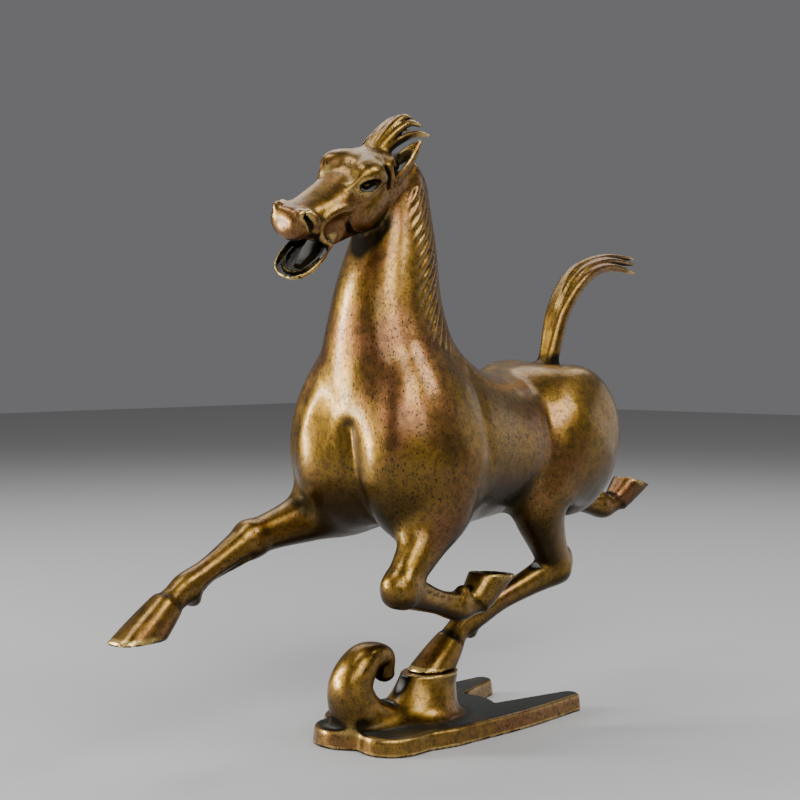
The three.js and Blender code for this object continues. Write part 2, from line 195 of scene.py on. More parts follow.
def scored(distance, points, path, depth, width, axes=(0, 2), side=0):
    """A body scored along a smooth line with a rounded tool: depth times exp(-(gap / width) squared)
    deeper. The gap is measured in the plane of the two axes, and on one side of the horse if given.
    A negative depth raises a ridge."""
    flat = np.zeros((len(path), 3))
    flat[:, axes] = np.asarray(path, float)
    seen = np.zeros_like(points)
    seen[:, axes] = points[:, axes]
    near = within(seen, flat.min(0), flat.max(0), 3 * width) & (np.abs(distance) < 8)
    if side:
        near &= points[:, 1] * side > 0
    if not near.any():
        return distance
    stations = stations_along(flat)
    here = row_at(stations, nearest_station(seen[near], stations))
    gap = np.linalg.norm(seen[near] - here[:, :3], axis=1)
    distance = distance.copy()
    distance[near] += depth * np.exp(-((gap / width) ** 2))
    return distance


NECK_PATH = [[-44, 0, 128], [-54, 0, 156], [-56.5, 0, 184], [-53.5, 0, 210], [-52, 0, 235]]
NECK_GIRTH = [[0, 33, 36], [0.28, 29, 30], [0.52, 21.5, 25], [0.76, 16.5, 19.5], [1, 11.5, 13]]


def body_wax(p):
    """The barrel, breast, shoulders, haunches and neck, run together with wide fillets and creased
    behind the shoulder, down the breast and in the flank."""
    barrel_girth = [
        [0, 31, 30],
        [0.2, 37, 36],
        [0.42, 36.5, 34],
        [0.66, 33.5, 31.5],
        [0.86, 33.5, 32],
        [1, 28, 27.5],
    ]
    body = rod(
        p,
        [[-60, 0, 125], [0, 0, 124], [58, 0, 131]],
        barrel_girth,
        egg=-0.08,
        ends=(0.6, 0.85),
    )
    body = joined(body, rod(p, NECK_PATH, NECK_GIRTH, egg=0.18, squareness=2.2, ends=(0.5, 1)), 22)
    muscles = [
        ([-66, 16, 119], [21, 20, 28], 0, 11),
        ([-62, -17, 117], [19, 16, 27], 0, 11),
        ([-57, 24, 124], [28, 16, 38], -12, 12),
        ([-58, -22, 122], [25, 17, 38], -8, 12),
        ([50, 17, 130], [34, 18, 31], 16, 12),
        ([48, -18, 124], [32, 19, 36], 24, 9),
    ]
    for centre, radii, turn, fillet in muscles:
        body = joined(body, lump(p, centre, radii, turn), fillet)
    front = p[:, 0] < -40
    for path, depth, width in (
        ([[-3, 134], [-5, 121], [-6, 106], [-5, 90]], 1.5, 3.5),
        ([[-17, 156], [-20, 140], [-23, 122], [-24, 104]], 0.7, 6),
        ([[24, 150], [27, 132], [29, 112], [27, 98]], 1.2, 5),
    ):
        body = np.where(front, scored(body, p, path, depth, width, axes=(1, 2)), body)
    for side in (NEAR, FAR):
        back = -39 if side == NEAR else -33
        behind_shoulder = [[back + 2, 154], [back - 1, 138], [back, 120], [back - 5, 102]]
        body = scored(body, p, behind_shoulder, 0.9, 4.5, side=side)
        body = scored(body, p, [[20, 148], [16, 132], [16, 116], [21, 102]], 1.5, 8, side=side)
    return body


HEAD_DROP, HEAD_TILT = np.radians(16), np.radians(20)
POLL = np.array([-52, 0, 235])
LIP_DROP = np.radians(33)  # how far the lower lip hangs from the line of the head


def in_head(p):
    """Points in the head's own frame, which drops at the nose and tilts to the near side: along from
    the poll towards the nose, sideways, and up."""
    x, y, z = (p - POLL).T
    c, s = np.cos(HEAD_DROP), np.sin(HEAD_DROP)
    along, rise = -x * c - z * s, -x * s + z * c
    c, s = np.cos(HEAD_TILT), np.sin(HEAD_TILT)
    return np.column_stack([along, y * c + rise * s, rise * c - y * s])


def skull_wax(q):
    """The skull and nose, with a high square forehead, full cheeks and the bar of the lower jaw."""
    skull_path = [
        [2, 0, 3.5],
        [16, 0, 4.6],
        [28, 0, 5],
        [36, 0, 4.4],
        [44, 0, 3.4],
        [53, 0, 1.5],
        [61, 0, 0.3],
        [64.4, 0, 0.3],
    ]
    skull_girth = [
        [0, 10.5, 11.5],
        [0.22, 11.4, 13.6],
        [0.41, 11.8, 13.4],
        [0.54, 11.4, 9.6],
        [0.67, 10.6, 7],
        [0.81, 9.4, 6.2],
        [0.94, 8.1, 6],
        [1, 7.5, 5.7],
    ]
    skull = rod(q, skull_path, skull_girth, egg=-0.08, squareness=2.6, ends=(0.7, 0.8))
    forehead = lump(q, [21, 0, 13.6], [11.5, 11.6, 6.8], squareness=3)
    head = joined(skull, forehead, 3)
    head = joined(head, lump(q, [45, 0, -5], [12, 7.8, 8.2], squareness=3), 1.5)
    jaw = rod(
        q,
        [[26, 0, -8], [38, 0, -10.4], [50, 0, -11.8]],
        [[0, 8, 4.6], [0.5, 6.6, 3.2], [1, 7.6, 2.6]],
        squareness=2.4,
    )
    return joined(head, jaw, 1.5)


def lower_lip_wax(head, q):
    """The lower lip hangs open like a spoon: half of an egg cut off along the plane of its rim, with a
    thin wall, a ridge of gum round its floor and the tongue."""
    middle = np.array([57, 0, -15.7])
    forward = np.array([np.cos(LIP_DROP), 0, -np.sin(LIP_DROP)])
    normal = np.array([-forward[2], 0, forward[0]])
    level = (q - middle) @ normal
    turn = np.degrees(LIP_DROP)
    spoon = cut(lump(q, middle, [12.8, 10.4, 5.2], turn=turn, squareness=2.3), -level, 0.5)
    hollow = cut(lump(q, middle, [11.6, 9.2, 3.7], turn=turn, squareness=2.3), 1.2 - level, 0.3)
    mouth = rod(q, [[45, 0, -9.4], [53, 0, -11.4], [63, 0, -13.4]], [[0, 4, 1.6], [0.5, 7, 2.4], [1, 8, 3]])
    head = cut(cut(joined(head, spoon, 1.6), hollow, 0.4), mouth, 0.8)
    round_front = ((-0.2, -1), (0.35, -0.93), (0.8, -0.6), (1, 0), (0.8, 0.6), (0.35, 0.93), (-0.2, 1))
    gum = [middle + forward * 9 * c + np.array([0, 7.2 * s, 0]) - normal * 1.5 for c, s in round_front]
    head = joined(head, rod(q, gum, [[0, 0.7, 0.7], [0.5, 1.1, 1.1], [1, 0.7, 0.7]], beside=(0, 0, 1)), 0.5)
    tongue = [middle + forward * along - normal * depth for along, depth in ((-9, 1.2), (-3, 2.6), (4, 3.1))]
    return joined(head, rod(q, tongue, [[0, 3.6, 1.2], [0.5, 4, 1.3], [1, 2.2, 0.8]]), 1)


def head_wax(p):
    """The head in its own frame: skull, upper lip and then on each side, in this order, the muzzle's
    corner, the hollow of the cheek, the jowl, the arch round the hollow, the brow, the eye and its
    lower lid, the creases of temple and jowl, and the nostril with its wing and slit."""
    q = in_head(p)
    head = skull_wax(q)
    head = joined(head, lump(q, [64.2, 0, -3.8], [4.8, 7.2, 4]), 2.5)
    for side in (NEAR, FAR):
        h = q * [1, side, 1]
        head = joined(head, lump(h, [62.4, 5.2, 0.2], [6, 4.2, 5]), 2.5)
        head = cut(head, lump(h, [46.8, 12.4, -6.2], [8.6, 6.2, 8], squareness=2.5), 0.6)
        head = joined(head, lump(h, [28.5, 8.2, 1.2], [12.2, 5, 11.4]), 1.2)
        arch = [
            [40.5, 10.6, 2.6],
            [44.5, 10, 3.6],
            [50, 9.5, 2.8],
            [54.6, 8.8, 0],
            [55.6, 8.3, -4],
            [53.6, 8.2, -8.4],
            [49.8, 8.4, -11.4],
        ]
        arch_girth = [[0, 0.6, 0.6], [0.3, 1.3, 1.3], [0.7, 1.2, 1.2], [1, 1.1, 1.1]]
        head = joined(head, rod(h, arch, arch_girth), 2.2)
        head = joined(head, lump(h, [29.2, 8.8, 14.6], [6, 4.2, 4.8], squareness=2.6), 4)
        brow = [[24, 11.8, 12.6], [28.4, 12.2, 15.4], [33.6, 10.9, 14.6], [38.4, 8.6, 11]]
        brow_girth = [[0, 0.8, 0.9], [0.4, 1.3, 1.4], [0.7, 1.2, 1.3], [1, 0.7, 0.8]]
        head = joined(head, rod(h, brow, brow_girth), 4.5)
        head = cut(head, lump(h, [31.9, 13.4, 11], [5.2, 4.5, 2.9], turn=-2), 0.8)
        head = joined(head, lump(h, [31.6, 9.3, 11.1], [2.8, 1.9, 2]), 0.3)
        lid = [[37, 10.2, 9.2], [32.2, 11.7, 7.9], [27, 11.8, 9.8]]
        head = joined(head, rod(h, lid, [[0, 0.4, 0.4], [0.5, 0.6, 0.6], [1, 0.4, 0.4]]), 2.2)
        for crease in ([[22.4, 16.6], [20, 12.8], [19, 7]], [[15.8, 16.4], [14.9, 12.8], [15.2, 7.6]]):
            head = scored(head, h, crease, 1, 0.9, side=1)
        head = scored(head, h, [[19, 16.6], [17.4, 12.6], [17, 7.2]], -0.6, 1.3, side=1)
        head = scored(head, h, [[39, 1], [33, 3.6], [27, 6.6], [22, 8.6]], 0.7, 1.8, side=1)
        head = joined(head, lump(h, [65.2, 6.2, 4.4], [2.3, 2.1, 2.1]), 1.4)
        wing = [[61.6, 7.6, 5], [59.2, 9.2, 1.6], [58.6, 9, -3.4]]
        head = joined(head, rod(h, wing, [[0, 1, 1], [0.5, 1.6, 1.5], [1, 1, 1]]), 1.8)
        slit = [[64.6, 7.6, 3.8], [62.4, 10.2, 0], [60.9, 9.6, -4.6]]
        head = cut(head, rod(h, slit, [[0, 1.2, 0.6], [0.5, 2.4, 1.2], [1, 1.4, 0.6]]), 0.6)
    return lower_lip_wax(head, q)


def ears_wax(p):
    """Two pricked ears, hollow in front, and the tufts of the forelock blown up and back."""
    q = in_head(p)
    wax = np.full(len(p), OUT_OF_REACH)
    for side in (NEAR, FAR):
        h = q * [1, side, 1]
        path = [[12.6, 7.6, 10.6], [8.4, 9.4, 16.2], [0.4, 11, 23.9]]
        ear = rod(h, path, [[0, 4.6, 4.2], [0.4, 4.6, 3.6], [0.75, 2.9, 2.3], [1, 0.7, 0.6]])
        front = [[a + 2.7, b + 0.9, c + 1.9] for a, b, c in path]
        ear = cut(ear, rod(h, front, [[0, 2.2, 2], [0.4, 2.9, 2.5], [0.75, 1.7, 1.6], [1, 0.4, 0.5]]), 0.6)
        wax = np.minimum(wax, ear)
    tufts = [
        (-3.6, -1.2, 1),
        (-1.2, 0.8, 1.05),
        (1.4, -0.4, 1),
        (3.8, -1.8, 0.95),
        (-4.6, -6, 0.9),
        (4.6, -6.5, 0.9),
    ]
    for spread, lift, size in tufts:
        path = [
            [16, 1.3 + 0.4 * spread, 13],
            [14, 2 + 0.8 * spread, 19.5 + 0.3 * lift],
            [6, 2.7 + spread, 26 + 0.7 * lift],
            [-3 + 0.5 * lift, 3 + 1.15 * spread, 29.4 + lift],
            [-10 + lift, 3 + 1.3 * spread, 27 + lift],
        ]
        girth = [
            [0, 3.2 * size, 3.2],
            [0.3, 2.2 * size, 2.4],
            [0.65, 1.7 * size, 1.7],
            [0.85, 1.2, 1.2],
            [1, 0.5, 0.5],
        ]
        wax = joined(wax, rod(q, path, girth), 0.7)
    return wax


CREST_LOCKS = 21  # on each side of the mane
LOCK_SUNK = 0.6  # how far a lock's middle lies under the skin
LOCK_FALL = 0.4  # the share of the neck's length that a lock falls by
NECK_LENGTH, NECK_DOME = 110, 11.5


def mane_wax(p):
    """A low ridge along the crest, and cropped locks that lie along the neck: each starts on the crest
    and turns round the neck's own section by a growing angle as it falls."""
    neck = stations_along(NECK_PATH, NECK_GIRTH)

    def on_neck(share, angle):
        """The place on the neck's skin at a share of its path, at an angle round from the crest. Past
        the end of the path it climbs over the dome behind the poll."""
        row = row_at(neck, np.atleast_1d(min(share, 1)) * STATIONS)[0]
        climb = min(max(share - 1, 0) * NECK_LENGTH / NECK_DOME, 1.4)
        wide, deep = row[12:14] * np.cos(climb) - LOCK_SUNK
        centre = row[:3] + NECK_DOME * np.sin(climb) * row[3:6]
        sideways = wide * np.sin(angle) * (1 - 0.18 * np.cos(angle))
        return centre - row[9:12] * deep * np.cos(angle) + row[6:9] * sideways

    ridge = [on_neck(share, 0) for share in (1.1, 1.03, 0.95, 0.85, 0.7, 0.55, 0.42, 0.3)]
    wax = rod(p, ridge, [[0, 1.4, 1.2], [0.2, 2.4, 1.9], [0.4, 2.8, 2.2], [0.8, 2.6, 2], [1, 1.4, 0.9]])
    for k in range(CREST_LOCKS):
        down = k / (CREST_LOCKS - 1)
        top = 1.3 - 0.9 * down
        shares = np.linspace(max(0, (top - 1.1) / LOCK_FALL), 1, 5)
        for side in (NEAR, FAR):
            path = [on_neck(top - LOCK_FALL * t, side * (0.12 + (1.9 - 0.65 * down) * t)) for t in shares]
            lock = rod(p, path, [[0, 1.7, 1.7], [0.4, 2, 2], [0.8, 1.7, 1.8], [1, 0.6, 1]])
            wax = joined(wax, lock, 0.3)
    return wax


def tail_wax(p):
    """The tail, carried high and blown back: strands that lie together and part at the tip."""
    wax = np.full(len(p), OUT_OF_REACH)
    strands = [(0, 2, 6, 1), (-3.2, 0, 1, 0.9), (3.2, 1, 3, 0.9), (-5.6, -3, -3, 0.8), (5.6, -1, -1, 0.8)]
    for spread, lift, reach, size in strands:
        path = [
            [52, 0, 146],
            [58, 0.4 * spread, 167],
            [65, 0.7 * spread, 187 + 0.3 * lift],
            [80, spread, 204 + 0.7 * lift],
            [101 + 0.6 * reach, spread, 211 + lift],
            [124 + reach, 1.15 * spread, 211 + 1.6 * lift],
        ]
        girth = [
            [0, 3.4, 4.4],
            [0.35, 2.4, 3.6],
            [0.7, 2.3 * size, 3 * size],
            [0.9, 1.5, 1.7],
            [1, 0.7, 0.7],
        ]
        wax = joined(wax, rod(p, path, girth), 0.9)
    return wax


# The girth of a leg above and below the knee or hock
FORE_UPPER = [[0, 15, 19], [0.33, 12, 14.5], [0.62, 8.9, 10], [0.85, 7.1, 7.8], [1, 7.1, 7.8]]
FORE_LOWER = [
    [0, 7.1, 7.8],
    [0.25, 5.7, 6.2],
    [0.5, 4.7, 5.1],
    [0.74, 5.4, 6],
    [0.88, 4.9, 5.3],
    [1, 5.8, 6.2],
]
HIND_UPPER = [[0, 16, 25], [0.45, 13, 17.5], [0.72, 8.8, 11], [0.92, 6.8, 8.2], [1, 6.8, 8.4]]
HIND_LOWER = [
    [0, 6.8, 8.4],
    [0.22, 5.4, 6.3],
    [0.5, 4.6, 5.1],
    [0.74, 5.4, 6],
    [0.88, 4.8, 5.3],
    [1, 5.8, 6.2],
]


def leg_wax(p, joints, upper, lower, sole, spur, raised=True):
    """One leg through its joints: shoulder or hip, elbow or stifle, knee or hock, fetlock, coronet and
    sole. The hoof is sawn off flat at the sole, and a raised one is hollow underneath."""
    knee, fetlock, coronet, tip = (np.array(joints[k], float) for k in (2, 3, 4, 5))
    sole = np.array(sole, float) / np.linalg.norm(sole)
    leg = rod(p, joints[:3], upper, squareness=2.2, ends=(0.8, 0.9))
    leg = joined(leg, rod(p, joints[2:5], lower, squareness=2.3, ends=(0.9, 0.5)), 2.5)
    leg = joined(leg, lump(p, fetlock + spur, [2.9, 2.6, 2.9]), 1.4)
    leg = joined(leg, lump(p, fetlock + 0.5 * np.array(spur), [4, 3.4, 4]), 3)
    slant = tip - coronet
    hoof = rod(
        p,
        [coronet - 0.1 * slant, tip + 0.9 * slant],
        [[0, 6, 6.4], [0.15, 6.9, 7.1], [0.55, 8.4, 8.4], [1, 9.6, 9.2]],
        squareness=2.5,
        ends=(0.3, 0.3),
    )
    hoof = cut(hoof, -((p - tip) @ sole), 0.4)
    if raised:
        tilt = np.degrees(np.arctan2(sole[0], sole[2]))
        hoof = cut(hoof, lump(p, tip, [7, 6.2, 3.2], turn=tilt), 0.8)
    return joined(leg, hoof, 1.2)


def legs_wax(p):
    """A flying trot: one foreleg reaching and the other folded, one hind leg standing on the base and
    the other flung back."""
    reaching = leg_wax(
        p,
        [[-52, 23, 116], [-68, 28, 99], [-108, 31, 88], [-142, 31, 72], [-153, 31, 65], [-165, 31, 54]],
        FORE_UPPER,
        FORE_LOWER,
        sole=[0, 0, -1],
        spur=[4, 0, -5],
    )
    folded = leg_wax(
        p,
        [[-50, -23, 118], [-59, -27, 98], [-83, -30, 71], [-46, -30, 59], [-35, -30, 61], [-25, -30, 71]],
        FORE_UPPER,
        FORE_LOWER,
        sole=[0.1, 0, 1],
        spur=[2, 0, 6],
    )
    standing = leg_wax(
        p,
        [[44, -20, 124], [18, -24, 98], [34, -21, 66], [-17, -9, 46], [-26, -7, 37], [-34, -5, 27]],
        HIND_UPPER,
        HIND_LOWER,
        sole=[0, 0, -1],
        spur=[4, 0, -5],
        raised=False,
    )
    flung = leg_wax(
        p,
        [[50, 20, 124], [63, 24, 106], [94, 22, 93], [131, 19, 83], [142, 17, 87], [153, 16, 96]],
        HIND_UPPER,
        HIND_LOWER,
        sole=[0.3, 0, 1],
        spur=[-2, 0, 6],
    )
    standing = joined(standing, lump(p, [39.5, -21, 70], [4.4, 4.6, 6]), 3)
    flung = joined(flung, lump(p, [97, 22, 98], [6, 4.6, 4.4]), 3)
    folded = joined(folded, lump(p, [-82.5, -30, 70.5], [5.2, 6.4, 7], turn=20, squareness=3), 2)
    folded = scored(folded, p, [[-72, 68.5], [-60, 64.5], [-50, 62.5]], 0.8, 1)
    reaching = scored(reaching, p, [[-112, 82], [-124, 76.5], [-136, 71]], 0.8, 1)
    return [reaching, folded, standing, flung]


def horse_wax(p):
    """The whole horse: body and head run together, then the legs, mane, ears and tail. The fillet
    between head and neck is wide at the throat and behind the poll, and small on the forehead."""
    along, _, up = in_head(p).T
    throat = np.clip(10 - 0.27 * along, 1.2, 9) * np.clip(0.5 - up / 12, 0.15, 1)
    poll = np.clip(5 - 0.8 * along, 0, 6)
    wax = joined(body_wax(p), head_wax(p), np.maximum(throat, poll))
    for leg in legs_wax(p):
        wax = joined(wax, leg, 7)
    wax = joined(wax, mane_wax(p), 0.6)
    wax = joined(wax, ears_wax(p), 1.6)
    return joined(wax, tail_wax(p), 5)


LINE_SKIP = 4  # of the grid's lines, one in this many is worked out first


def ruled(*bands):
    """Grid lines along one axis, from bands of [start, end, spacing], in a whole number of skips."""
    lines = np.concatenate(
        [np.linspace(a, b, max(round((b - a) / s), 1), endpoint=False) for a, b, s in bands]
    )
    tail = bands[-1][1] + bands[-1][2] * np.arange(LINE_SKIP - (len(lines) - 1) % LINE_SKIP)
    whole = (len(lines) + LINE_SKIP - 1) // LINE_SKIP * LINE_SKIP + 1
    return np.concatenate([lines, tail])[:whole]


CLOSE = 9  # a grid point whose nearest first point is farther from the skin isn't worked out


def cast(wax, lines):
    """The skin of a wax model on a grid of lines, as vertices and quads: each cell that the surface
    crosses gets one vertex, the mean of its edges' crossings, and each grid edge that it crosses gets
    one quad of the four cells around it. Cells far from the surface are judged on the first lines."""
    sparse = np.stack(np.meshgrid(*(line[::LINE_SKIP] for line in lines), indexing="ij"), -1)
    coarse = wax(sparse.reshape(-1, 3)).reshape(sparse.shape[:3])
    whole = coarse
    for axis, line in enumerate(lines):
        whole = np.take(whole, (np.arange(len(line)) + LINE_SKIP // 2) // LINE_SKIP, axis=axis)
    at = np.argwhere(np.abs(whole) < CLOSE)
    points = np.column_stack([line[at[:, axis]] for axis, line in enumerate(lines)])
    field = whole.copy()
    field[tuple(at.T)] = wax(points)

    full = field < 0
    count = np.zeros(np.array(field.shape) - 1, np.int8)
    corners = [(i, j, k) for i in (0, 1) for j in (0, 1) for k in (0, 1)]
    size = np.array(count.shape)
    for i, j, k in corners:
        count += full[i : i + size[0], j : j + size[1], k : k + size[2]]
    cells = np.argwhere((count > 0) & (count < 8))
    total, crossings = np.zeros((len(cells), 3)), np.zeros((len(cells), 1))
    edges = [(a, b) for a in corners for b in corners if np.subtract(b, a).tolist() in np.eye(3).tolist()]
    for a, b in edges:
        low, high = cells + a, cells + b
        f_low, f_high = field[tuple(low.T)], field[tuple(high.T)]
        share = (f_low / np.where(f_low == f_high, 1, f_low - f_high))[:, None]
        crossed = ((f_low < 0) != (f_high < 0))[:, None]
        start, end = (np.column_stack([line[v[:, n]] for n, line in enumerate(lines)]) for v in (low, high))
        total += np.where(crossed, start + (end - start) * share, 0)
        crossings += crossed
    vertices = total / crossings

    number = np.full(size, -1, np.int32)
    number[tuple(cells.T)] = np.arange(len(cells))
    quads = []
    for axis in range(3):
        others = [n for n in range(3) if n != axis]
        step = np.eye(3, dtype=int)
        first = full[tuple(slice(0, -1) if n == axis else slice(None) for n in range(3))]
        second = full[tuple(slice(1, None) if n == axis else slice(None) for n in range(3))]
        crossed = np.argwhere(first != second)
        outward = first[tuple(crossed.T)] ^ (axis == 1)
        ring = [0 * step[0], -step[others[0]], -step[others[0]] - step[others[1]], -step[others[1]]]
        quad = np.column_stack([number[tuple((crossed + move).T)] for move in ring])
        quads.append(np.where(outward[:, None], quad, quad[:, ::-1]))
    return vertices, np.vstack(quads)


def slope_of(wax, points, step=0.25):
    """The gradient of a wax model's distance, from differences over a step each way."""
    moves = np.eye(3) * step
    return np.column_stack([(wax(points + m) - wax(points - m)) / (2 * step) for m in moves])


def probed(wax, points, normals, lengths):
    """How closed in the surface is, from 0 to 1: probes of several lengths point straight out of it,
    and each counts by how far short of its length its tip stays from the metal."""
    shortfalls = [np.clip(1 - wax(points + normals * length) / length, 0, 1) for length in lengths]
    return np.mean(shortfalls, axis=0)


def piece_from(name, vertices, quads, shift, **attributes):
    """A smooth mesh object from millimetres, with one attribute a vertex for each finish measure."""
    mesh = bpy.data.meshes.new(name)
    mesh.vertices.add(len(vertices))
    mesh.vertices.foreach_set("co", ((vertices + shift) / 1000).astype(np.float32).ravel())
    mesh.loops.add(quads.size)
    mesh.loops.foreach_set("vertex_index", quads.astype(np.int32).ravel())
    mesh.polygons.add(len(quads))
    mesh.polygons.foreach_set("loop_start", np.arange(0, quads.size, 4, dtype=np.int32))
    mesh.update(calc_edges=True)
    mesh.validate()
    mesh.shade_smooth()
    for key, values in attributes.items():
        mesh.attributes.new(key, "FLOAT", "POINT").data.foreach_set("value", values.astype(np.float32))
    piece = bpy.data.objects.new(name, mesh)
    bpy.context.scene.collection.objects.link(piece)
    return piece


PROBES = (1.2, 3, 7, 12)
EDGE_DEPTH = 1.6
LARGEST_MOVE = 0.4


def cast_piece(name, wax, lines, shift):
    """Casts a wax model: each vertex is moved twice along the slope by distance over slope squared,
    onto the exact skin. It then learns how hollow its place is, how sharp an edge it lies on (how far
    short of its depth a point inside it stays from the skin), and how far its skin faces up."""
    vertices, quads = cast(wax, lines)
    for _ in range(2):
        slope = slope_of(wax, vertices)
        steep = (slope**2).sum(1)
        move = np.clip(wax(vertices) / np.maximum(steep, 0.2), -LARGEST_MOVE, LARGEST_MOVE)
        vertices = vertices - slope * move[:, None]
    slope = slope_of(wax, vertices, 0.5)
    normals = slope / np.linalg.norm(slope, axis=1, keepdims=True)
    hollow = probed(wax, vertices, normals, PROBES)
    edge = 1 - np.clip(-wax(vertices - normals * EDGE_DEPTH) / EDGE_DEPTH, 0, 1)
    return piece_from(name, vertices, quads, shift, hollow=hollow, edge=edge, rise=normals[:, 2])


horse = cast_piece(
    "horse_casting",
    horse_wax,
    (
        ruled([-182, -115, 1.4], [-115, -52, 0.84], [-52, -26, 1.1], [-26, 172, 1.55]),
        ruled([-46, -15, 1.3], [-15, 15, 0.8], [15, 47, 1.3]),
        ruled([23, 152, 1.5], [152, 196, 1.2], [196, 272, 0.8]),
    ),
    np.array([HORSE_SHIFT, 0, 0]),
)


